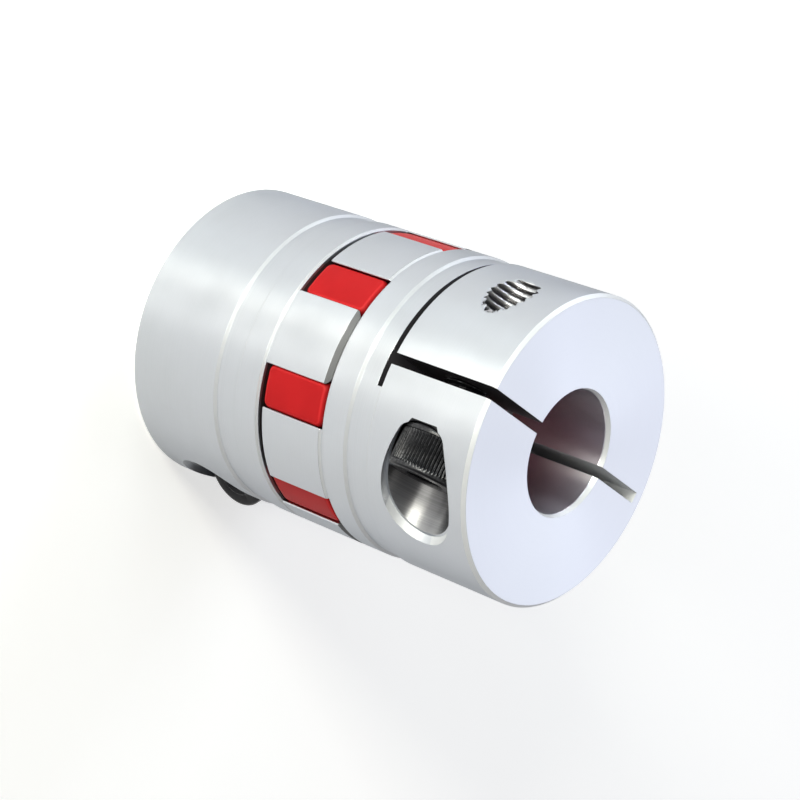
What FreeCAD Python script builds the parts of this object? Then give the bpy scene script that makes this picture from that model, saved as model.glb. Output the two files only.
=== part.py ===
import FreeCAD, Part
import math
import os

# Clamp-type jaw coupling, in millimetres. It stands on its end: +Z runs along the shafts,
# and the origin is the centre of the lower hub's end face, in the mouth of its bore.
# Both hubs are alike: turned over about the line through its middle along X, the whole
# coupling falls on itself.

# Overall
outer_diameter = 55.0
overall_length = 78.0
bore_diameter = 22.0

# Space between the two hub faces, which the jaws and the spider fill
hub_gap = 15.0

# Edges of the hub body
end_chamfer = 0.6
bore_lead_width = 0.36
bore_lead_depth = 0.95
bore_inner_chamfer = 0.5

# Jaws, counted on one hub
jaw_count = 4
jaw_tip_gap = 0.5
jaw_tip_chamfer = 0.8
jaw_corner_radius = 1.0
jaw_edge_break = 0.25
jaw_ring_gap = 0.3
root_groove_width = 1.0
root_groove_depth = 0.34

# Spider arms: the flanks are arcs that bulge into hollow jaw flanks, widest at the belly,
# which lies at this share of the way from the spider's ring to the skin
arm_width = 9.2
arm_belly_share = 0.41
arm_flank_radius = 22.0
arm_fit = 0.1
arm_axial_gap = 0.5
arm_recess = 0.45
arm_corner_radius = 1.5
arm_edge_radius = 1.2

# Spider ring, which joins the arms
ring_bore = 24.0
ring_wall = 4.5
ring_recess = 1.0

# Clamp: slit along the hub, turned from -Y, and a cut across it by a disc saw that comes in
# at its own angle from the slit and reaches past the hub's axis; relief groove beside the cut.
# The clamp and the groove take these shares of the hub's body
clamp_turn = 21.1
clamp_share = 0.662
relief_share = 0.1714
slit_width = 2.0
slit_offset = 0.42
hinge_web = 2.7
cross_cut_width = 1.4
saw_radius = 40.0
saw_turn = 65.3
saw_reach = 2.8
relief_depth = 0.45

# Clamp screw M8 x 20 and the holes that it sits in; its axis lies at this share of the way
# from the bore to the skin
screw_share = 0.5455
screw_diameter = 8.0
screw_length = 20.0
screw_tip_chamfer = 1.0
head_diameter = 13.0
head_height = 8.0
head_rim_radius = 0.7
head_foot_chamfer = 0.9
socket_width = 6.0
socket_depth = 4.0
seat_depth = 7.65
pocket_clearance = 0.4
pocket_floor_radius = 0.8
pocket_rim_width = 0.45
pocket_rim_depth = 1.3
pocket_rim_corner = 2.0
shank_clearance = 0.4
thread_fit = 0.05

# Cutters reach this far past the metal
cutter_margin = 5.0

# Values that follow from those above
outer_radius = outer_diameter / 2
bore_radius = bore_diameter / 2
half_length = overall_length / 2
face_z = hub_gap / 2
hub_length = half_length - face_z
tip_z = -face_z + jaw_tip_gap
pitch = 180.0 / jaw_count
ring_radius = ring_bore / 2 + ring_wall
arm_belly_radius = ring_radius + arm_belly_share * (outer_radius - ring_radius)
jaw_inner_radius = ring_radius + jaw_ring_gap
clamp_length = clamp_share * hub_length
relief_width = relief_share * hub_length
cut_z = half_length - clamp_length
screw_z = half_length - clamp_length / 2
screw_offset = bore_radius + screw_share * (outer_radius - bore_radius)
pocket_radius = head_diameter / 2 + pocket_clearance
beyond = outer_radius + cutter_margin

X_AXIS = FreeCAD.Vector(1, 0, 0)
Z_AXIS = FreeCAD.Vector(0, 0, 1)
ORIGIN = FreeCAD.Vector(0, 0, 0)


def turned(points):
    """Solid of revolution about Z, from (radius, height) corners of its section."""
    corners = [FreeCAD.Vector(r, 0, z) for r, z in points]
    face = Part.Face(Part.makePolygon(corners + corners[:1]))
    return face.revolve(ORIGIN, Z_AXIS, 360)


def spun(shape, angle):
    """Copy of a shape, turned about Z."""
    copy = shape.copy()
    copy.rotate(ORIGIN, Z_AXIS, angle)
    return copy


def arm_lens(side_gap):
    """Tall prism between two opposed arcs, centred on +X: the section of a spider arm."""
    radius = arm_flank_radius - side_gap
    shift = arm_flank_radius - arm_width / 2
    base = -overall_length / 2
    sides = []
    for sign in (-1, 1):
        centre = FreeCAD.Vector(arm_belly_radius, sign * shift, base)
        sides.append(Part.makeCylinder(radius, overall_length, centre))
    return sides[0].common(sides[1])


def on_cylinder(edge, radius):
    """True where an edge lies on the cylinder of that radius about Z."""
    points = edge.discretize(5)
    return all(abs(math.hypot(p.x, p.y) - radius) < 1e-4 for p in points)


def is_level(edge):
    """True where an edge stays at one height."""
    heights = [p.z for p in edge.discretize(5)]
    return max(heights) - min(heights) < 1e-5


def jaw_blank():
    """Turned crown from which the jaws are cut, with its root groove and tip chamfer."""
    floor = outer_radius - root_groove_depth
    groove_edge = face_z - root_groove_width / 2
    return turned([
        (jaw_inner_radius, tip_z),
        (outer_radius - jaw_tip_chamfer, tip_z),
        (outer_radius, tip_z + jaw_tip_chamfer),
        (outer_radius, groove_edge),
        (floor, groove_edge + root_groove_depth),
        (floor, face_z),
        (jaw_inner_radius, face_z),
    ])


def make_jaw():
    """One jaw centred on +X: a sector with hollow flanks and rounded tip corners."""
    height = face_z - tip_z
    base = FreeCAD.Vector(0, 0, tip_z)
    sector = spun(Part.makeCylinder(outer_radius, height, base, Z_AXIS, pitch), -pitch / 2)
    jaw = sector.cut(Part.makeCylinder(jaw_inner_radius, height, base))
    for side in (-1, 1):
        jaw = jaw.cut(spun(arm_lens(0), side * pitch / 2))
    corners = [e for e in jaw.Edges if is_level(e) and e.BoundBox.ZMax < tip_z + 1e-4
               and not on_cylinder(e, outer_radius) and not on_cylinder(e, jaw_inner_radius)]
    jaw = jaw.makeFillet(jaw_corner_radius, corners)
    rims = [e for e in jaw.Edges if on_cylinder(e, outer_radius) and not is_level(e)]
    jaw = jaw.makeChamfer(jaw_edge_break, rims)
    return jaw.common(jaw_blank())


def hub_body():
    """Turned body of a hub, with end chamfer, bore mouth and relief groove."""
    floor = outer_radius - root_groove_depth
    root_edge = face_z + root_groove_width / 2
    relief_floor = outer_radius - relief_depth
    relief_start = cut_z - relief_width
    return turned([
        (bore_radius + bore_inner_chamfer, face_z),
        (floor, face_z),
        (floor, root_edge - root_groove_depth),
        (outer_radius, root_edge),
        (outer_radius, relief_start),
        (relief_floor, relief_start + relief_depth),
        (relief_floor, cut_z - relief_depth),
        (outer_radius, cut_z),
        (outer_radius, half_length - end_chamfer),
        (outer_radius - end_chamfer, half_length),
        (bore_radius + bore_lead_width, half_length),
        (bore_radius, half_length - bore_lead_depth),
        (bore_radius, face_z + bore_inner_chamfer),
    ])


def on_screw_axis(shape, start_x):
    """A shape made upright on Z, laid on the clamp screw's axis with +X to the hub's open side."""
    shape = spun(shape, -90)
    shape.rotate(ORIGIN, FreeCAD.Vector(0, 1, 0), 90)
    shape.translate(FreeCAD.Vector(start_x, -screw_offset, screw_z))
    return shape


def screw_cylinder(radius, start_x, end_x):
    """Plain cylinder on the clamp screw's axis."""
    return on_screw_axis(Part.makeCylinder(radius, end_x - start_x), start_x)


def pocket_cutter(radius, floor_edge):
    """Round cutter for the screw pocket, standing on the seat, with a rounded lower edge."""
    cutter = Part.makeCylinder(radius, beyond - seat_depth)
    lower = [e for e in cutter.Edges if e.BoundBox.ZMax < 1e-4]
    return on_screw_axis(cutter.makeFillet(floor_edge, lower), seat_depth)


def rim_cutter():
    """Shallow, slightly wider cut round the pocket's mouth, of one depth under the hub's skin."""
    core = Part.makeCylinder(outer_radius - pocket_rim_depth, overall_length,
                             FreeCAD.Vector(0, 0, -half_length))
    return pocket_cutter(pocket_radius + pocket_rim_width, pocket_rim_corner).cut(core)


def clamp_slit():
    """Slit through the near wall and most of the far wall, which leaves the hinge web."""
    bottom = cut_z - cross_cut_width
    corner = FreeCAD.Vector(-slit_offset - slit_width / 2, -beyond, bottom)
    depth = beyond + outer_radius - hinge_web
    return Part.makeBox(slit_width, depth, half_length - bottom + cutter_margin, corner)


def cross_cut():
    """Disc saw's cut across the hub, which frees the threaded half of the clamp."""
    centre = FreeCAD.Vector(0, saw_reach - saw_radius, cut_z - cross_cut_width)
    return spun(Part.makeCylinder(saw_radius, cross_cut_width, centre), -saw_turn)


def make_hub():
    """Upper hub: made with its slit opening towards -Y, then turned to its place."""
    jaw = make_jaw()
    first_jaw = -pitch / 2 - clamp_turn
    jaws = [spun(jaw, first_jaw + 2 * pitch * i) for i in range(jaw_count)]
    hub = hub_body().fuse(jaws)
    hub = hub.removeSplitter()
    slit_x = -slit_offset
    clearance_radius = screw_diameter / 2 + shank_clearance
    thread_radius = screw_diameter / 2 + thread_fit
    hub = hub.cut([
        pocket_cutter(pocket_radius, pocket_floor_radius),
        rim_cutter(),
        clamp_slit(),
        cross_cut(),
        screw_cylinder(clearance_radius, slit_x, seat_depth),
        screw_cylinder(thread_radius, -beyond, slit_x),
    ])
    return spun(hub.Solids[0], clamp_turn)


def make_arm(half_width):
    """One spider arm on +X, rounded at its corners and all round its outer face."""
    height = 2 * half_width
    base = FreeCAD.Vector(0, 0, -half_width)
    root = ring_bore / 2 + ring_wall / 4
    reach = Part.makeBox(outer_radius, outer_radius, height,
                         FreeCAD.Vector(root, -outer_radius / 2, -half_width))
    arm = reach.common(arm_lens(arm_fit))
    corners = [e for e in arm.Edges if is_level(e) and e.BoundBox.XLength > ring_wall]
    arm = arm.makeFillet(arm_corner_radius, corners)
    top_radius = outer_radius - arm_recess
    ring = Part.makeCylinder(top_radius, height, base)
    ring = ring.cut(Part.makeCylinder(ring_bore / 2 + ring_wall / 2, height, base))
    arm = arm.common(spun(ring, 180))
    rims = [e for e in arm.Edges if on_cylinder(e, top_radius)]
    return arm.makeFillet(arm_edge_radius, rims)


def make_spider():
    """Moulded star: eight arms on a ring that is a little narrower than they are."""
    half_width = face_z - arm_axial_gap
    ring_half = half_width - ring_recess
    inner = ring_bore / 2
    ring = turned([
        (inner, -ring_half),
        (ring_radius, -ring_half),
        (ring_radius, ring_half),
        (inner, ring_half),
    ])
    arm = make_arm(half_width)
    arms = [spun(arm, pitch * i) for i in range(2 * jaw_count)]
    return ring.fuse(arms).removeSplitter().Solids[0]


def make_screw():
    """Socket-head clamp screw, its head on the pocket's floor."""
    head_radius = head_diameter / 2
    shank_radius = screw_diameter / 2
    foot = head_foot_chamfer
    screw = turned([
        (0, -screw_length),
        (shank_radius - screw_tip_chamfer, -screw_length),
        (shank_radius, -screw_length + screw_tip_chamfer),
        (shank_radius, 0),
        (head_radius - foot, 0),
        (head_radius, foot),
        (head_radius, head_height),
        (0, head_height),
    ])
    rim = [e for e in screw.Edges if is_level(e) and on_cylinder(e, head_radius)
           and e.BoundBox.ZMax > head_height - 1e-4]
    screw = screw.makeFillet(head_rim_radius, rim)
    corner_radius = socket_width / math.sqrt(3)
    corners = []
    for i in range(7):
        angle = math.radians(60 * i)
        corners.append(FreeCAD.Vector(corner_radius * math.cos(angle),
                                      corner_radius * math.sin(angle),
                                      head_height - socket_depth))
    hexagon = Part.Face(Part.makePolygon(corners))
    screw = screw.cut(hexagon.extrude(FreeCAD.Vector(0, 0, socket_depth + cutter_margin)))
    drill = Part.makeCone(0, corner_radius, corner_radius / 2,
                          FreeCAD.Vector(0, 0, head_height - socket_depth - corner_radius / 2))
    screw = screw.cut(drill.common(hexagon.extrude(FreeCAD.Vector(0, 0, -socket_depth))))
    screw.rotate(ORIGIN, FreeCAD.Vector(0, 1, 0), 90)
    screw.translate(FreeCAD.Vector(seat_depth, -screw_offset, screw_z))
    return spun(screw.Solids[0], clamp_turn)


def turned_over(shape):
    """The same piece for the lower half: its jaws fall in the upper hub's gaps."""
    copy = shape.copy()
    copy.rotate(ORIGIN, X_AXIS, 180)
    return copy


hub_solid = make_hub()
screw_solid = make_screw()
pieces = {
    "upper_hub": hub_solid,
    "upper_clamp_screw": screw_solid,
    "spider": make_spider(),
    "lower_hub": turned_over(hub_solid),
    "lower_clamp_screw": turned_over(screw_solid),
}

os.makedirs("parts", exist_ok=True)
for name, piece in pieces.items():
    piece.translate(FreeCAD.Vector(0, 0, half_length))
    piece.exportStep("parts/" + name + ".step")
    print(name, piece.isValid(), len(piece.Solids), round(piece.Volume, 2))
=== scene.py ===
"""Clamp-type jaw coupling, dressed for a studio picture.

Lengths are in metres, but the camera's lens and sensor are in millimetres."""
import math
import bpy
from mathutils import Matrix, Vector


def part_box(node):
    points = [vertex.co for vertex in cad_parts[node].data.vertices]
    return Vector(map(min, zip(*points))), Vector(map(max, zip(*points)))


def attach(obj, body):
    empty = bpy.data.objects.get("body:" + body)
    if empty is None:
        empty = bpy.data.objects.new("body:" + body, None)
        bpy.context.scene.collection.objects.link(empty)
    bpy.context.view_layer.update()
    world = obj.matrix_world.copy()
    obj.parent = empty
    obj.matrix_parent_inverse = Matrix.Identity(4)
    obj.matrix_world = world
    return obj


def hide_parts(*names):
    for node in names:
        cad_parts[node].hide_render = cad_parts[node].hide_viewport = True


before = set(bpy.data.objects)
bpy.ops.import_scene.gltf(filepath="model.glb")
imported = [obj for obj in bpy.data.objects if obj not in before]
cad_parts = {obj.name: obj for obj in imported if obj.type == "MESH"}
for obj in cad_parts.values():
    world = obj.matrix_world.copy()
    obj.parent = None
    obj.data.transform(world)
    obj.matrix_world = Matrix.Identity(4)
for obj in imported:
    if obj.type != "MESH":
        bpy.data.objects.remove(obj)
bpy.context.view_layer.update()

from types import SimpleNamespace

import bmesh
import bpy
import numpy as np
from mathutils import Matrix, Vector

MM = 0.001

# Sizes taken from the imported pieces
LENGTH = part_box("upper_hub")[1].z
MIDDLE = LENGTH / 2
screw_low, screw_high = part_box("upper_clamp_screw")
SCREW_HEIGHT = (screw_low.z + screw_high.z) / 2

# Skin, bore, jaws and cuts, as in the part's source; heights are counted from the middle
SKIN_RADIUS = 27.5 * MM
BORE_RADIUS = 11.0 * MM
FACE_HEIGHT = 7.5 * MM
CUT_HEIGHT = 18.147 * MM
CROSS_CUT_WIDTH = 1.4 * MM
CLAMP_TURN = math.radians(21.1)
SLIT_OFFSET = 0.42 * MM
SLIT_WIDTH = 2.0 * MM
HINGE_WEB = 2.7 * MM
ARM_FACE_RADIUS = 27.05 * MM
ARM_EDGE_RADIUS = 1.2 * MM

# Clamp screw M8: places along its axis are counted from the hub's middle towards the head
SCREW_OFFSET = 20.0 * MM
SEAT = 7.65 * MM
POCKET_RADIUS = 6.9 * MM
SCREW_LENGTH = 20.0 * MM
SHANK_RADIUS = 4.0 * MM
TIP_CHAMFER = 1.0 * MM

# Thread: its flat and its flank are shares of half a pitch
THREAD_PITCH = 1.25 * MM
THREAD_DEPTH = 0.62 * MM
THREAD_START = 0.42
THREAD_FLAT = 0.12
THREAD_FLANK = 0.7
THREAD_RUNOUT = 0.6 * MM

# Lining of the tapped hole: its rim stays a little under the hub's skin
LINING_CLEARANCE = 0.05 * MM
LINING_WALL = 0.04 * MM
RIM_DROP = 0.02 * MM

# Screw head: heights are counted from its foot. The collar is smooth, and the knurl above it
# runs in and out over short slopes
HEAD_RADIUS = 6.5 * MM
HEAD_HEIGHT = 8.0 * MM
HEAD_FOOT = 0.9 * MM
HEAD_RIM = 0.7 * MM
COLLAR_END = 1.15 * MM
KNURL_TEETH = 68
KNURL_DEPTH = 0.25 * MM
COLLAR_STEP = 0.15 * MM
COLLAR_STEP_DEPTH = 0.6 * KNURL_DEPTH
KNURL_START = 1.55 * MM
KNURL_END = 6.9 * MM
KNURL_RUN_IN = 0.1 * MM
KNURL_RUN_OUT = 0.25 * MM
SOCKET_WIDTH = 6.0 * MM
SOCKET_DEPTH = 4.0 * MM
SOCKET_CHAMFER = 0.25 * MM
SOCKET_MOUTH = SOCKET_WIDTH / math.sqrt(3) + 0.3 * MM
SOCKET_FLOOR_EDGE = 0.1 * MM
DRILL_POINT = 0.5 * SOCKET_WIDTH / math.sqrt(3)

# Fineness of the surfaces, and the angles in degrees above which their edges are sharp
SHANK_ROWS = 170
SHANK_COLUMNS = 72
COLUMNS_PER_TOOTH = 6
ARC_ROWS = 7
LINING_ROWS = 150
LINING_COLUMNS = 96
MERGE_DISTANCE = 0.0005 * MM
SCREW_SHARP_ANGLE = 40.0
LINING_SHARP_ANGLE = 50.0

# Regions of the finishes: how far they reach past their walls, and their other limits. Broken
# edges are told by how much their faces lean, from 0 upright to 1 level
EDGE_MARGIN = 0.02 * MM
FACE_MARGIN = 0.03 * MM
WALL_MARGIN = 0.05 * MM
SKIN_LAYER = 0.06 * MM
THREAD_REACH = 0.2 * MM
CUT_MOUTH = 0.5 * MM
GAP_DEPTH = 0.9 * MM
END_EDGE_REACH = 1.0 * MM
TIP_EDGE_START = 0.48 * MM
EDGE_LEAN = (0.2, 0.93)
ARM_EDGE_DEPTH = 1.4 * ARM_EDGE_RADIUS
KNURL_WEAR_DEPTH = 0.3 * KNURL_DEPTH
THREAD_WEAR_DEPTH = 0.1 * THREAD_DEPTH
THREAD_WEAR_MARGIN = 0.1 * MM

# Noises of the finishes: scale, detail and roughness
RING_NOISE = (5200.0, 3.0, 0.6)
CLOUD_NOISE = (90.0, 3.0, 0.55)
MILLING_NOISE = (3800.0, 4.0, 0.7)
SAWING_NOISE = (2600.0, 3.0, 0.6)
MOULDING_NOISE = (180.0, 3.0, 0.5)
OXIDE_NOISE = (2200.0, 3.0, 0.6)

# Depth and strength of their relief, and the radius over which sharp edges look rounded
TOOL_RELIEF = (0.006 * MM, 0.6)
MOULDING_RELIEF = (0.02 * MM, 0.35)
OXIDE_RELIEF = (0.004 * MM, 0.5)
EDGE_ROUNDING = 0.12 * MM
ROUNDING_SAMPLES = 6

# Tones of the aluminium; a ramp is a row of (position, colour)
SKIN_TONES = (0.35, (0.585, 0.605, 0.635)), (0.65, (0.63, 0.65, 0.685))
# Pocket: milled marks under painted shade, near black at the seat under the screw head and lighter
# towards the mouth
POCKET_MARKS_AND_SHADE_TONES = (0.33, (0.03, 0.03, 0.032)), (0.55, (0.15, 0.145, 0.15)), (0.95, (0.37, 0.37, 0.38))
# Cuts: sawn grain, light aluminium on the hinge side, and painted shade that turns them near black
# towards the screw
SAWN_GRAIN_AND_SHADE_TONES = ((0.2, (0.72, 0.73, 0.74)), (0.45, (0.62, 0.62, 0.63)),
              (0.8, (0.12, 0.10, 0.105)), (1.0, (0.05, 0.045, 0.05)))
# Bore: painted red reflection of the spider, warmest at the middle and fading to bright metal at the
# mouth
BORE_RED_REFLECTION_TONES = (0.2, (0.80, 0.30, 0.32)), (0.6, (0.85, 0.66, 0.71)), (1.0, (0.92, 0.91, 0.96))
# Tapped thread: grain, light on its crests, and painted shade darkening it towards its roots
THREAD_GRAIN_AND_SHADE_TONES = (0.25, (0.80, 0.80, 0.81)), (0.6, (0.50, 0.49, 0.50)), (1.0, (0.17, 0.165, 0.17))
END_FACE_TONE = (0.68, 0.697, 0.729)
EDGE_TONE = (0.68, 0.69, 0.71)
# Painted highlight: the chamfer at the hub's end is painted near white
END_EDGE_HIGHLIGHT_TONE = (0.86, 0.87, 0.88)
# Painted shade: the chamfers on the jaws' tips are painted dark grey
TIP_EDGE_SHADE_TONE = (0.19, 0.19, 0.195)
# Painted shade with a painted red reflection of the spider, on the hub's faces and flanks between the
# jaws
GAP_SHADE_TONE = (0.24, 0.12, 0.12)
GRAZING_TINT = (0.50, 0.51, 0.52)

# How the tones change: shares of the noises, change per metre, and cover of an upper tone
CLOUD_SHARE = 0.55
RING_SHARE = 0.35
MILLING_SHARE = 0.6
SAWING_SHARE = 0.3
THREAD_GRAIN_SHARE = 0.25
MILLING_STRETCH = 0.2
# How fast the pocket's painted shade fades away from the seat, per metre
POCKET_SHADE_FADE = 45.0
# How fast the cuts' painted shade deepens towards the screw, per metre, and where it is half way
SAWN_SHADE_FADE = 20.0
SAWN_SHADE_MIDDLE = 0.5
END_FACE_COVER = 0.7
# How much the painted shade between the jaws covers the tone under it
GAP_SHADE_COVER = 0.7
SAWN_DULLNESS = 0.8
EDGE_DULLNESS = 0.55

# Roughness of the aluminium's regions
SKIN_ROUGHNESS = (0.3, 0.29), (0.7, 0.35)
POCKET_ROUGHNESS = 0.4
END_FACE_ROUGHNESS = 0.32
END_FACE_EVENNESS = 0.8
EDGE_ROUGHNESS = 0.55
SAWN_ROUGHNESS = 0.5

# Tones of the elastomer and of the screws
ARM_FACE_TONES = (0.25, (0.39, 0.004, 0.006)), (0.75, (0.45, 0.006, 0.008))
# Painted shade on the arms' rounded edges and in the gaps below them, with a painted highlight line
# just inside the face
ARM_EDGE_SHADE_AND_HIGHLIGHT_TONES = ((0.1, (0.15, 0.002, 0.003)), (0.7, (0.27, 0.003, 0.004)),
                  (0.86, (0.41, 0.005, 0.007)), (0.94, (0.56, 0.018, 0.020)),
                  (1.0, (0.43, 0.006, 0.008)))
OXIDE_TONES = (0.3, (0.006, 0.006, 0.007)), (0.8, (0.022, 0.022, 0.025))
WORN_TONE = (0.07, 0.07, 0.074)
WEAR = (0.35, 0.3), (0.65, 1.0)

# Camera: where it looks, from which side, and how it is rolled
CAMERA_AZIMUTH = 29.724
CAMERA_ELEVATION = 37.249
CAMERA_ROLL = 110.460
CAMERA_AIM = Vector((1.3616, 0.7774, 40.6514)) * MM
CAMERA_DISTANCE = 408.58 * MM
CAMERA_LENS = 103.741
CAMERA_SENSOR = 36.0
CAMERA_NEAR = 0.01
CAMERA_FAR = 10.0

# Softboxes, all at one distance: name, azimuth from +X towards +Y, elevation, width, height,
# watts and colour. The upright ones in front make the bright band along the body
SOFTBOX_DISTANCE = 0.9
SOFTBOXES = (
    ("front_left", 268.0, 16.0, 0.16, 0.50, 0.8, (0.65, 0.92, 1.0)),
    ("front_middle", 276.0, 16.0, 0.16, 0.50, 4.7, (1.0, 0.98, 0.85)),
    ("front_right", 300.0, 16.0, 0.16, 0.50, 2.6, (1.0, 1.0, 0.92)),
    ("half_left", 243.0, 12.0, 0.30, 0.50, 1.1, (0.85, 0.98, 1.0)),
    ("high_left", 198.0, 29.0, 0.34, 0.30, 1.6, (0.82, 0.89, 1.0)),
    ("left", 180.0, 14.0, 0.30, 0.40, 0.9, (0.66, 0.72, 1.0)),
    ("high_back", 120.0, 40.0, 0.36, 0.36, 0.62, (0.87, 0.91, 1.0)),
    ("back", 120.0, 16.0, 0.30, 0.50, 0.5, (0.80, 0.80, 1.0)),
)
WORLD_COLOUR = (1.0, 1.0, 1.0)
WORLD_STRENGTH = 0.34
FLOOR_HALF_WIDTH = 3.0
FLOOR_DROP = 0.02 * MM
FLOOR_COLOUR = (0.95, 0.94, 0.92)
FLOOR_GLOW = 0.32
GLOW_COLOUR = (1.0, 1.0, 1.0)


# Surfaces

def full_turn(columns):
    """Angles of a full turn, evenly spaced, without the last one, which is the first again."""
    return np.linspace(0, 2 * math.pi, columns, endpoint=False)


def grid_faces(rows, columns):
    """Quads of a grid that closes round in its columns: each joins a row to the next one."""
    row, column = np.meshgrid(np.arange(rows - 1), np.arange(columns), indexing="ij")
    here = row * columns + column
    beside = row * columns + (column + 1) % columns
    return np.stack([here, beside, beside + columns, here + columns], -1).reshape(-1, 4)


def round_grid(along, radius, columns):
    """Points (radius cos t, radius sin t, along) for the angles t of a full turn.

    along and radius hold one number per row, or one per row and column."""
    angle = full_turn(columns)
    along = np.broadcast_to(np.asarray(along, float).reshape(len(along), -1), (len(along), columns))
    radius = np.broadcast_to(np.asarray(radius, float).reshape(len(radius), -1), along.shape)
    return np.stack([radius * np.cos(angle), radius * np.sin(angle), along], -1)


def close_ends(points):
    """Adds a row at each end of a round grid, with all its points on the axis."""
    low = points[:1] * (0, 0, 1)
    high = points[-1:] * (0, 0, 1)
    return np.concatenate([low, points, high])


def arc(start, end, centre):
    """Points (radius, along) of the quarter turn from start to end about a centre: centre +
    (start - centre) cos t + (end - centre) sin t."""
    t = np.linspace(0, math.pi / 2, ARC_ROWS)[:, None]
    start, end, centre = np.array(start), np.array(end), np.array(centre)
    return centre + (start - centre) * np.cos(t) + (end - centre) * np.sin(t)


def thread_profile(along, angle):
    """Depth below the crest of a right-hand thread, from 0 to 1: a triangle wave of
    start + along / pitch - angle / turn, cut flat at both its ends. along is 0 at the seat."""
    phase = (THREAD_START + along / THREAD_PITCH - angle / (2 * math.pi)) % 1.0
    wave = np.abs(2 * phase - 1)
    return np.clip((wave - THREAD_FLAT) / THREAD_FLANK, 0, 1)


def shank_grid():
    """Screw shank on Z from its tip at -SCREW_LENGTH up into the head: radius is the crest's
    less the thread's depth, which fades out under the head, cut by the tip's cone."""
    along = np.linspace(-SCREW_LENGTH, HEAD_FOOT, SHANK_ROWS)[:, None]
    fade = np.clip((-THREAD_RUNOUT - along) / THREAD_PITCH, 0, 1)
    depth = THREAD_DEPTH * fade * thread_profile(along, full_turn(SHANK_COLUMNS))
    tip_cone = SHANK_RADIUS - TIP_CHAMFER + (along + SCREW_LENGTH)
    radius = np.minimum(SHANK_RADIUS - depth, tip_cone)
    return close_ends(round_grid(along, radius, SHANK_COLUMNS))


def head_grid():
    """Socket head on Z, its foot at 0: a lathe profile whose rows are knurled on the side,
    where radius is the head's less depth * sqrt(0.5 + 0.5 cos(teeth * angle)), and hexagonal
    in the socket, where it is apothem / cos(angle from the flat's middle)."""
    columns = KNURL_TEETH * COLUMNS_PER_TOOTH
    angle = full_turn(columns)
    groove = KNURL_DEPTH * (0.5 + 0.5 * np.cos(KNURL_TEETH * angle)) ** 0.5
    sixth = math.pi / 3
    hexagon = SOCKET_WIDTH / 2 / np.cos((angle + sixth / 2) % sixth - sixth / 2)
    smooth = np.ones(columns)

    rows = [(r * smooth, along) for r, along in arc(
        (HEAD_RADIUS - HEAD_FOOT, 0), (HEAD_RADIUS, HEAD_FOOT), (HEAD_RADIUS - HEAD_FOOT, HEAD_FOOT))]
    rows.append((HEAD_RADIUS * smooth, COLLAR_END))
    rows.append(((HEAD_RADIUS - COLLAR_STEP_DEPTH) * smooth, COLLAR_END + COLLAR_STEP))
    for share, along in ((0.6, KNURL_START - KNURL_RUN_IN),
                         (1.0, KNURL_START + KNURL_RUN_IN),
                         (1.0, (KNURL_START + KNURL_END) / 2),
                         (1.0, KNURL_END - KNURL_RUN_OUT),
                         (0.5, KNURL_END)):
        rows.append((HEAD_RADIUS - share * groove, along))
    rim_start = HEAD_HEIGHT - HEAD_RIM
    rows += [(r * smooth, along) for r, along in arc(
        (HEAD_RADIUS, rim_start), (HEAD_RADIUS - HEAD_RIM, HEAD_HEIGHT),
        (HEAD_RADIUS - HEAD_RIM, rim_start))]
    floor = HEAD_HEIGHT - SOCKET_DEPTH
    rows.append((SOCKET_MOUTH * smooth, HEAD_HEIGHT))
    rows.append((hexagon, HEAD_HEIGHT - SOCKET_CHAMFER))
    rows.append((hexagon, floor + SOCKET_FLOOR_EDGE))
    rows.append((hexagon - SOCKET_FLOOR_EDGE, floor))
    rows.append((0 * smooth, floor - DRILL_POINT))

    points = round_grid([along for r, along in rows], [r for r, along in rows], columns)
    return np.concatenate([points[:1] * (0, 0, 1), points])


def skin_place(radius, angle):
    """Place along the screw's axis where a line beside it, at that radius and angle, comes out
    of the skin: -sqrt(skin^2 - offset^2), a little short of it so that nothing stands proud."""
    offset = SCREW_OFFSET + radius * np.cos(angle)
    return -np.sqrt((SKIN_RADIUS - RIM_DROP) ** 2 - offset ** 2)


def lining_grid():
    """Threaded wall of the tapped hole, on Z from the slit to the hub's skin: radius follows the
    screw's thread at a small clearance, and a wall just inside the metal closes it."""
    angle = full_turn(LINING_COLUMNS)
    start = -SLIT_OFFSET - SLIT_WIDTH / 2
    share = np.linspace(0, 1, LINING_ROWS)[:, None]
    crest = SHANK_RADIUS + LINING_CLEARANCE
    radius = np.full((LINING_ROWS, LINING_COLUMNS), crest)
    for step in range(3):
        along = start + (skin_place(radius, angle) - start) * share
        radius = crest - THREAD_DEPTH * thread_profile(along - SEAT, angle)
    along = start + (skin_place(radius, angle) - start) * share

    back = np.full((1, LINING_COLUMNS), crest + LINING_WALL)
    slit_wall = np.full((1, LINING_COLUMNS), start)
    radius = np.concatenate([back, radius, back, back])
    along = np.concatenate([slit_wall, along, skin_place(back, angle), slit_wall])
    return round_grid(along, radius, LINING_COLUMNS)[:, ::-1]


def on_screw_axis(points, start):
    """Lays a surface made on Z along the upper clamp screw's axis, its zero at start; its
    own X looks away from the shaft, so that a right-hand thread stays one."""
    along = np.array([math.cos(CLAMP_TURN), math.sin(CLAMP_TURN), 0])
    outward = np.array([math.sin(CLAMP_TURN), -math.cos(CLAMP_TURN), 0])
    across = np.cross(along, outward)
    origin = SCREW_OFFSET * outward + start * along + np.array([0, 0, SCREW_HEIGHT])
    return origin + points @ np.array([outward, across, along])


def on_half(half, points):
    """Points made for the upper half, or the same places on the lower one: half a turn about
    the line along X through the middle, (x, -y, length - z)."""
    if half == "upper":
        return points
    return points * (1, -1, -1) + (0, 0, LENGTH)


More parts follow.
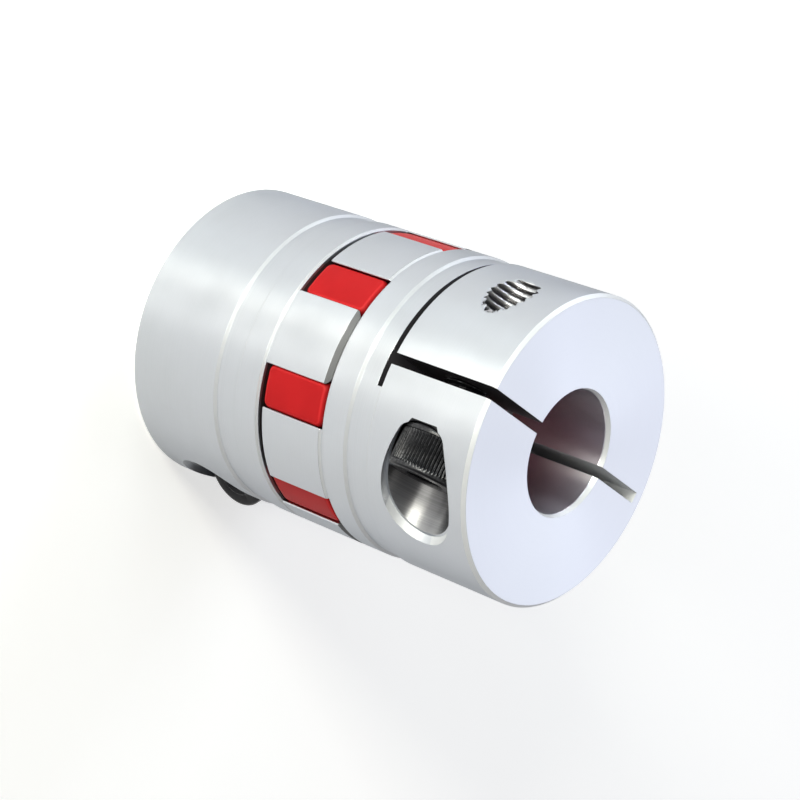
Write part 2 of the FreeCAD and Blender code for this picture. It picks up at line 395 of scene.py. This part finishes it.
def make_piece(name, grids, sharp_angle):
    """One mesh object of closed round grids, riding with the coupling's only body."""
    corners, faces, count = [], [], 0
    for grid in grids:
        rows, columns = grid.shape[:2]
        corners.append(grid.reshape(-1, 3))
        faces.append(grid_faces(rows, columns) + count)
        count += rows * columns
    mesh = bpy.data.meshes.new(name)
    mesh.from_pydata(np.concatenate(corners), [], np.concatenate(faces).tolist())
    piece = bpy.data.objects.new(name, mesh)
    bpy.context.scene.collection.objects.link(piece)
    close_poles(mesh)
    mesh.shade_smooth()
    mesh.set_sharp_from_angle(angle=math.radians(sharp_angle))
    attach(piece, "root")
    return piece


def close_poles(mesh):
    """Joins the points that lie on each other at poles and seams, and turns faces outwards."""
    work = bmesh.new()
    work.from_mesh(mesh)
    bmesh.ops.remove_doubles(work, verts=work.verts, dist=MERGE_DISTANCE)
    bmesh.ops.recalc_face_normals(work, faces=work.faces)
    work.to_mesh(mesh)
    work.free()


# Material helpers

class Finish:
    """A procedural material under construction: short calls that add and join its nodes."""

    def __init__(self, name):
        self.material = bpy.data.materials.new(name)
        self.material.use_nodes = True
        self.tree = self.material.node_tree
        self.shader = self.tree.nodes["Principled BSDF"]
        self.object_place = self.add("ShaderNodeTexCoord").outputs["Object"]

    def add(self, kind, **settings):
        """Adds a node; settings are its own properties."""
        node = self.tree.nodes.new(kind)
        for key, value in settings.items():
            setattr(node, key, value)
        return node

    def feed(self, socket, value):
        """Joins an output to a socket, or sets the socket to a plain value or colour."""
        if isinstance(value, bpy.types.NodeSocket):
            self.tree.links.new(value, socket)
        elif socket.type == "RGBA":
            socket.default_value = (*value, 1.0)
        else:
            socket.default_value = value

    def set(self, **values):
        """Sets or joins the shader's own sockets, named with underscores."""
        for key, value in values.items():
            self.feed(self.shader.inputs[key.replace("_", " ")], value)

    def math(self, operation, *values):
        """Result of a sum or comparison of numbers."""
        node = self.add("ShaderNodeMath", operation=operation)
        for socket, value in zip(node.inputs, values):
            self.feed(socket, value)
        return node.outputs[0]

    def plus(self, first, second):
        """Sum of two numbers."""
        return self.math("ADD", first, second)

    def minus(self, first, second):
        """First number less the second."""
        return self.math("SUBTRACT", first, second)

    def times(self, first, second):
        """Product of two numbers."""
        return self.math("MULTIPLY", first, second)

    def over(self, value, limit):
        """1 above a limit and 0 elsewhere."""
        return self.math("GREATER_THAN", value, limit)

    def under(self, value, limit):
        """1 below a limit and 0 elsewhere."""
        return self.math("LESS_THAN", value, limit)

    def within(self, value, low, high):
        """1 between two limits and 0 elsewhere."""
        return self.math("COMPARE", value, (low + high) / 2, (high - low) / 2)

    def outside(self, mask):
        """1 where a mask is 0, and 0 where it is 1."""
        return self.minus(1.0, mask)

    def all_of(self, *masks):
        """1 where every mask is 1."""
        result = masks[0]
        for mask in masks[1:]:
            result = self.times(result, mask)
        return result

    def length(self, a, b):
        """Length of a flat vector from its two parts."""
        return self.math("SQRT", self.plus(self.times(a, a), self.times(b, b)))

    def parts(self, vector):
        """The three numbers of a vector."""
        node = self.add("ShaderNodeSeparateXYZ")
        self.feed(node.inputs[0], vector)
        return node.outputs

    def combine(self, x, y, z):
        """Vector from three numbers."""
        node = self.add("ShaderNodeCombineXYZ")
        for socket, value in zip(node.inputs, (x, y, z)):
            self.feed(socket, value)
        return node.outputs[0]

    def noise(self, place, scale, detail, roughness):
        """Cloudy noise, from 0 to 1."""
        node = self.add("ShaderNodeTexNoise")
        self.feed(node.inputs["Vector"], place)
        self.feed(node.inputs["Scale"], scale)
        self.feed(node.inputs["Detail"], detail)
        self.feed(node.inputs["Roughness"], roughness)
        return node.outputs["Fac"]

    def ramp(self, factor, stops):
        """Colour ramp from (position, grey or colour) stops."""
        node = self.add("ShaderNodeValToRGB")
        elements = node.color_ramp.elements
        while len(elements) < len(stops):
            elements.new(0.5)
        for element, (position, colour) in zip(elements, stops):
            element.position = position
            if isinstance(colour, float):
                colour = (colour, colour, colour)
            element.color = (*colour, 1.0)
        self.feed(node.inputs[0], factor)
        return node.outputs["Color"]

    def blend(self, factor, first, second):
        """Colour between two others."""
        node = self.add("ShaderNodeMix", data_type="RGBA")
        self.feed(node.inputs[0], factor)
        self.feed(node.inputs[6], first)
        self.feed(node.inputs[7], second)
        return node.outputs[2]

    def between(self, factor, first, second):
        """Number between two others."""
        node = self.add("ShaderNodeMix", data_type="FLOAT")
        self.feed(node.inputs[0], factor)
        self.feed(node.inputs[2], first)
        self.feed(node.inputs[3], second)
        return node.outputs[0]

    def direction(self, factor, first, second):
        """Direction, of length 1, between two others."""
        node = self.add("ShaderNodeMix", data_type="VECTOR")
        self.feed(node.inputs[0], factor)
        self.feed(node.inputs[4], first)
        self.feed(node.inputs[5], second)
        unit = self.add("ShaderNodeVectorMath", operation="NORMALIZE")
        self.feed(unit.inputs[0], node.outputs[1])
        return unit.outputs[0]

    def rounded_edges(self, radius):
        """Normal that turns softly over each sharp edge."""
        node = self.add("ShaderNodeBevel", samples=ROUNDING_SAMPLES)
        self.feed(node.inputs["Radius"], radius)
        return node.outputs["Normal"]

    def bump(self, height, distance, strength, normal=None):
        """Normal over small hills and hollows, on the surface's own normal or a given one."""
        node = self.add("ShaderNodeBump")
        self.feed(node.inputs["Height"], height)
        self.feed(node.inputs["Distance"], distance)
        self.feed(node.inputs["Strength"], strength)
        if normal is not None:
            self.feed(node.inputs["Normal"], normal)
        return node.outputs["Normal"]


def about_screw(finish):
    """Place about the clamp screw of the half that a point lies in: along the screw's axis,
    outward from the shaft, up from the screw, and the distance from its axis; then the side,
    1 on the upper hub and -1 on the lower, and the height from the middle."""
    x, y, z = finish.parts(finish.object_place)
    side = finish.math("SIGN", finish.minus(z, MIDDLE))
    height = finish.math("ABSOLUTE", finish.minus(z, MIDDLE))
    y_upper = finish.times(y, side)
    along = finish.plus(finish.times(x, math.cos(CLAMP_TURN)),
                        finish.times(y_upper, math.sin(CLAMP_TURN)))
    outward = finish.minus(finish.times(x, math.sin(CLAMP_TURN)),
                           finish.times(y_upper, math.cos(CLAMP_TURN)))
    up = finish.minus(height, SCREW_HEIGHT - MIDDLE)
    distance = finish.length(finish.minus(outward, SCREW_OFFSET), up)
    return SimpleNamespace(along=along, outward=outward, up=up, distance=distance, side=side,
                           height=height)


# Turned aluminium of the hubs

def hub_regions(finish, place, radius):
    """Masks, 1 inside and 0 elsewhere, of the parts of the hub that are finished apart."""
    facing = finish.add("ShaderNodeNewGeometry").outputs["True Normal"]
    lean = finish.math("ABSOLUTE", finish.parts(facing)[2])
    cut_floor = CUT_HEIGHT - CROSS_CUT_WIDTH - EDGE_MARGIN
    half_slit = SLIT_WIDTH / 2 + EDGE_MARGIN

    slit = finish.all_of(finish.within(place.along, -SLIT_OFFSET - half_slit, -SLIT_OFFSET + half_slit),
                         finish.over(place.height, cut_floor),
                         finish.over(place.outward, -SKIN_RADIUS + HINGE_WEB - WALL_MARGIN))
    cross_cut = finish.all_of(finish.within(place.height, cut_floor, CUT_HEIGHT + EDGE_MARGIN),
                              finish.within(radius, BORE_RADIUS + WALL_MARGIN,
                                            SKIN_RADIUS - CUT_MOUTH))
    # Hollows between the jaws, which get painted shade
    gap = finish.all_of(finish.under(place.height, FACE_HEIGHT + EDGE_MARGIN),
                        finish.under(radius, SKIN_RADIUS - GAP_DEPTH))
    pocket = finish.all_of(finish.under(place.distance, POCKET_RADIUS + WALL_MARGIN),
                           finish.over(place.along, SEAT - WALL_MARGIN))
    thread = finish.all_of(finish.under(place.distance, SHANK_RADIUS + THREAD_REACH),
                           finish.under(place.along, -SLIT_OFFSET - SLIT_WIDTH / 2),
                           finish.under(radius, SKIN_RADIUS - SKIN_LAYER))
    edge = finish.all_of(finish.within(lean, *EDGE_LEAN),
                         finish.over(radius, BORE_RADIUS + WALL_MARGIN),
                         finish.outside(pocket), finish.outside(thread))
    # The end chamfer, which gets a painted highlight
    at_end = finish.over(place.height, MIDDLE - END_EDGE_REACH)
    # The jaws' tip chamfers, which get painted shade
    at_tip = finish.under(place.height, FACE_HEIGHT - TIP_EDGE_START)
    return SimpleNamespace(
        sawn=finish.math("MAXIMUM", slit, cross_cut), gap=gap, pocket=pocket, thread=thread,
        bore=finish.under(radius, BORE_RADIUS + WALL_MARGIN),
        end_face=finish.all_of(finish.over(lean, EDGE_LEAN[1]), at_end), edge=edge,
        highlighted_end_edge=finish.all_of(edge, at_end), shaded_tip_edge=finish.all_of(edge, at_tip))


def hub_marks(finish, place, radius, z):
    """Noises of the hub's surface: turned rings, faint clouds, the milling cutter's marks about
    the screw's axis in the pocket, and the grain of the sawn and tapped walls."""
    turning = finish.combine(radius, z, 0.0)
    milling = finish.combine(place.along, finish.times(place.distance, MILLING_STRETCH), 0.0)
    sawing = finish.combine(place.along, place.outward, place.height)
    return SimpleNamespace(rings=finish.noise(turning, *RING_NOISE),
                           clouds=finish.noise(finish.object_place, *CLOUD_NOISE),
                           milled=finish.noise(milling, *MILLING_NOISE),
                           grain=finish.noise(sawing, *SAWING_NOISE))


def hub_tone(finish, place, regions, marks):
    """Colour of the hub: each region has its own tone over the turned skin's. Painted shade
    darkens the pocket towards the seat under the head, the cuts towards the screw, the
    hollows between the jaws and the jaw tips' chamfers, and the thread towards its roots; a
    painted red reflection of the spider warms the bore towards the middle, and a painted
    highlight lightens the chamfer at the hub's end."""
    skin = finish.ramp(finish.between(CLOUD_SHARE, marks.rings, marks.clouds), SKIN_TONES)
    # Painted shade in the pocket, deepest at the seat under the screw head
    from_seat = finish.times(finish.minus(place.along, SEAT), POCKET_SHADE_FADE)
    pocket = finish.ramp(finish.plus(finish.times(marks.milled, MILLING_SHARE), from_seat),
                         POCKET_MARKS_AND_SHADE_TONES)
    # Painted shade in the slit and the cross cut, deepening towards the screw
    shade_towards_screw = finish.plus(finish.times(place.outward, SAWN_SHADE_FADE), SAWN_SHADE_MIDDLE)
    sawn = finish.ramp(finish.plus(shade_towards_screw, finish.times(marks.grain, SAWING_SHARE)),
                       SAWN_GRAIN_AND_SHADE_TONES)
    # Painted red reflection of the spider in the bore
    bore = finish.ramp(finish.math("DIVIDE", place.height, MIDDLE), BORE_RED_REFLECTION_TONES)
    # Painted shade in the tapped thread's roots
    from_crest = finish.minus(place.distance, SHANK_RADIUS - THREAD_DEPTH)
    thread = finish.ramp(finish.plus(finish.math("DIVIDE", from_crest, THREAD_DEPTH),
                                     finish.times(marks.grain, THREAD_GRAIN_SHARE)),
                         THREAD_GRAIN_AND_SHADE_TONES)

    tone = finish.blend(regions.pocket, skin, pocket)
    tone = finish.blend(regions.bore, tone, bore)
    tone = finish.blend(finish.times(regions.end_face, END_FACE_COVER), tone, END_FACE_TONE)
    tone = finish.blend(regions.edge, tone, EDGE_TONE)
    # Painted highlight on the end chamfer
    tone = finish.blend(regions.highlighted_end_edge, tone, END_EDGE_HIGHLIGHT_TONE)
    # Painted shade on the jaws' tip chamfers
    tone = finish.blend(regions.shaded_tip_edge, tone, TIP_EDGE_SHADE_TONE)
    # Painted shade and red reflection between the jaws
    tone = finish.blend(finish.times(regions.gap, GAP_SHADE_COVER), tone, GAP_SHADE_TONE)
    tone = finish.blend(regions.sawn, tone, sawn)
    return finish.blend(regions.thread, tone, thread)


def hub_roughness(finish, regions, marks):
    """Satin skin and end face, rougher pocket and cuts, and matt broken edges."""
    rough = finish.between(regions.pocket, finish.ramp(marks.clouds, SKIN_ROUGHNESS),
                           POCKET_ROUGHNESS)
    rough = finish.between(finish.times(regions.end_face, END_FACE_EVENNESS), rough,
                           END_FACE_ROUGHNESS)
    rough = finish.between(regions.edge, rough, EDGE_ROUGHNESS)
    return finish.between(regions.sawn, rough, SAWN_ROUGHNESS)


def cutting_way(finish, place, x, y, pocket):
    """Direction in which the tool went over the surface: round the shaft on the turned skin, and
    round the clamp screw's axis in the pocket."""
    round_shaft = finish.combine(finish.times(y, -1.0), x, 0.0)
    upper_y = finish.times(place.up, -math.cos(CLAMP_TURN))
    from_screw = finish.times(finish.minus(place.outward, SCREW_OFFSET), place.side)
    round_screw = finish.combine(finish.times(place.up, math.sin(CLAMP_TURN)),
                                 finish.times(upper_y, place.side),
                                 finish.times(from_screw, -1.0))
    return finish.direction(pocket, round_shaft, round_screw)


def turned_aluminium():
    """Satin aluminium: fine rings about the shaft axis, matt broken edges, tool marks about
    the screw's axis in the pocket, a reamed bore bright at its mouth with a painted red reflection of
    the spider towards the middle, and sawn walls in the cuts; painted shade darkens the pocket, the
    cuts, the jaw gaps, the jaw tips' chamfers and the thread roots, and a painted highlight lightens
    the end chamfer."""
    finish = Finish("turned_aluminium")
    x, y, z = finish.parts(finish.object_place)
    radius = finish.length(x, y)
    place = about_screw(finish)
    regions = hub_regions(finish, place, radius)
    marks = hub_marks(finish, place, radius, z)

    relief = finish.between(regions.pocket, finish.times(marks.rings, RING_SHARE), marks.milled)
    relief = finish.between(regions.sawn, relief, marks.grain)
    dullness = finish.plus(finish.times(regions.sawn, SAWN_DULLNESS),
                           finish.times(regions.edge, EDGE_DULLNESS))
    finish.set(Base_Color=hub_tone(finish, place, regions, marks),
               Metallic=finish.minus(1.0, dullness),
               Roughness=hub_roughness(finish, regions, marks),
               Normal=finish.bump(relief, *TOOL_RELIEF, finish.rounded_edges(EDGE_ROUNDING)),
               Tangent=cutting_way(finish, place, x, y, regions.pocket),
               Anisotropic=0.8, Anisotropic_Rotation=0.25, Specular_Tint=GRAZING_TINT)
    return finish.material


# Elastomer of the spider and black oxide of the screws

def red_elastomer():
    """Smooth moulded red elastomer with a slight waviness, a painted highlight along the arms'
    rounded edges and painted shade, deeper red, down in the gaps."""
    finish = Finish("red_elastomer")
    x, y = finish.parts(finish.object_place)[:2]
    radius = finish.length(x, y)
    waves = finish.noise(finish.object_place, *MOULDING_NOISE)
    # Painted shade and highlight over the arms' rounded edges, by depth below the face
    above_face = finish.math("DIVIDE", finish.minus(radius, ARM_FACE_RADIUS), ARM_EDGE_DEPTH)
    arm_edge_shade_and_highlight = finish.ramp(finish.plus(1.0, above_face), ARM_EDGE_SHADE_AND_HIGHLIGHT_TONES)
    face_tone = finish.ramp(waves, ARM_FACE_TONES)
    on_face = finish.over(radius, ARM_FACE_RADIUS - FACE_MARGIN)
    finish.set(Base_Color=finish.blend(on_face, arm_edge_shade_and_highlight, face_tone), Roughness=0.55,
               Specular_IOR_Level=0.17, Normal=finish.bump(waves, *MOULDING_RELIEF))
    return finish.material


def black_oxide_steel():
    """Black oxide over steel, worn bright along the crests of the knurl and of the thread."""
    finish = Finish("black_oxide_steel")
    from_screw = about_screw(finish).distance
    grain = finish.noise(finish.object_place, *OXIDE_NOISE)
    knurl_crest = finish.over(from_screw, HEAD_RADIUS - KNURL_WEAR_DEPTH)
    thread_crest = finish.within(from_screw, SHANK_RADIUS - THREAD_WEAR_DEPTH,
                                 SHANK_RADIUS + THREAD_WEAR_MARGIN)
    worn = finish.times(finish.math("MAXIMUM", knurl_crest, thread_crest),
                        finish.ramp(grain, WEAR))
    finish.set(Base_Color=finish.blend(worn, finish.ramp(grain, OXIDE_TONES), WORN_TONE),
               Metallic=0.6, Roughness=0.24, Specular_IOR_Level=0.2,
               Normal=finish.bump(grain, *OXIDE_RELIEF))
    return finish.material


def coat(piece, material):
    """Puts one material in every slot of a piece."""
    if not piece.material_slots:
        piece.data.materials.append(material)
    for slot in piece.material_slots:
        slot.material = material


# Studio

def camera_axes():
    """The camera's right, up and back directions, from its azimuth, elevation and roll."""
    azimuth = math.radians(CAMERA_AZIMUTH)
    elevation = math.radians(CAMERA_ELEVATION)
    roll = math.radians(CAMERA_ROLL)
    back = Vector((math.sin(azimuth) * math.cos(elevation),
                   -math.cos(azimuth) * math.cos(elevation), math.sin(elevation)))
    level = Vector((math.cos(azimuth), math.sin(azimuth), 0))
    upright = back.cross(level)
    right = math.cos(roll) * level + math.sin(roll) * upright
    up = math.cos(roll) * upright - math.sin(roll) * level
    return right, up, back


def add_camera():
    """Camera that sees the coupling lying on its side, as in the picture."""
    right, up, back = camera_axes()
    camera = bpy.data.cameras.new("camera")
    camera.lens = CAMERA_LENS
    camera.sensor_width = CAMERA_SENSOR
    camera.clip_start = CAMERA_NEAR
    camera.clip_end = CAMERA_FAR
    holder = bpy.data.objects.new("camera", camera)
    turn = Matrix((right, up, back)).transposed().to_4x4()
    holder.matrix_world = Matrix.Translation(CAMERA_AIM + CAMERA_DISTANCE * back) @ turn
    bpy.context.scene.collection.objects.link(holder)
    bpy.context.scene.camera = holder


def add_softbox(name, azimuth, elevation, width, height, power, colour):
    """Area lamp that looks at the coupling's middle."""
    azimuth = math.radians(azimuth)
    elevation = math.radians(elevation)
    direction = Vector((math.cos(azimuth) * math.cos(elevation),
                        math.sin(azimuth) * math.cos(elevation), math.sin(elevation)))
    lamp = bpy.data.lights.new(name, "AREA")
    lamp.shape = "RECTANGLE"
    lamp.size = width
    lamp.size_y = height
    lamp.energy = power
    lamp.color = colour
    holder = bpy.data.objects.new(name, lamp)
    place = Vector((0, 0, MIDDLE)) + SOFTBOX_DISTANCE * direction
    turn = direction.to_track_quat("Z", "Y").to_matrix().to_4x4()
    holder.matrix_world = Matrix.Translation(place) @ turn
    bpy.context.scene.collection.objects.link(holder)


def seen_directly(finish):
    """1 for rays from the camera, a mirror or glass, and 0 for the rays that light things."""
    path = finish.add("ShaderNodeLightPath").outputs
    seen = finish.math("MAXIMUM", path["Is Camera Ray"], path["Is Glossy Ray"])
    return finish.math("MAXIMUM", seen, path["Is Transmission Ray"])


def add_floor():
    """Large pale floor under the coupling; the camera and the metal's reflections see it as
    white, and it keeps the coupling's shadow."""
    side = FLOOR_HALF_WIDTH
    corners = [(x * side, y * side, -FLOOR_DROP) for x, y in ((-1, -1), (1, -1), (1, 1), (-1, 1))]
    mesh = bpy.data.meshes.new("floor")
    mesh.from_pydata(corners, [], [(0, 1, 2, 3)])
    floor = bpy.data.objects.new("floor", mesh)
    bpy.context.scene.collection.objects.link(floor)
    finish = Finish("pale_floor")
    finish.set(Base_Color=FLOOR_COLOUR, Roughness=0.9, Specular_IOR_Level=0.0,
               Emission_Color=GLOW_COLOUR,
               Emission_Strength=finish.times(seen_directly(finish), FLOOR_GLOW))
    coat(floor, finish.material)


def add_world():
    """Plain light from all round."""
    world = bpy.data.worlds.new("studio")
    bpy.context.scene.world = world
    world.use_nodes = True
    background = world.node_tree.nodes["Background"]
    background.inputs["Color"].default_value = (*WORLD_COLOUR, 1.0)
    background.inputs["Strength"].default_value = WORLD_STRENGTH


# Scene

aluminium = turned_aluminium()
oxide = black_oxide_steel()
elastomer = red_elastomer()
screw_grids = [on_screw_axis(grid, SEAT) for grid in (shank_grid(), head_grid())]
lining = on_screw_axis(lining_grid(), 0.0)

for half in ("upper", "lower"):
    screw = make_piece(half + "_screw_thread_and_knurl",
                       [on_half(half, grid) for grid in screw_grids], SCREW_SHARP_ANGLE)
    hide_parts(half + "_clamp_screw")
    coat(screw, oxide)
for half in ("upper", "lower"):
    thread = make_piece(half + "_tapped_thread", [on_half(half, lining)], LINING_SHARP_ANGLE)
    coat(thread, aluminium)
    coat(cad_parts[half + "_hub"], aluminium)
coat(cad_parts["spider"], elastomer)

add_camera()
add_world()
add_floor()
for softbox in SOFTBOXES:
    add_softbox(*softbox)
bpy.context.scene.view_settings.view_transform = "Standard"
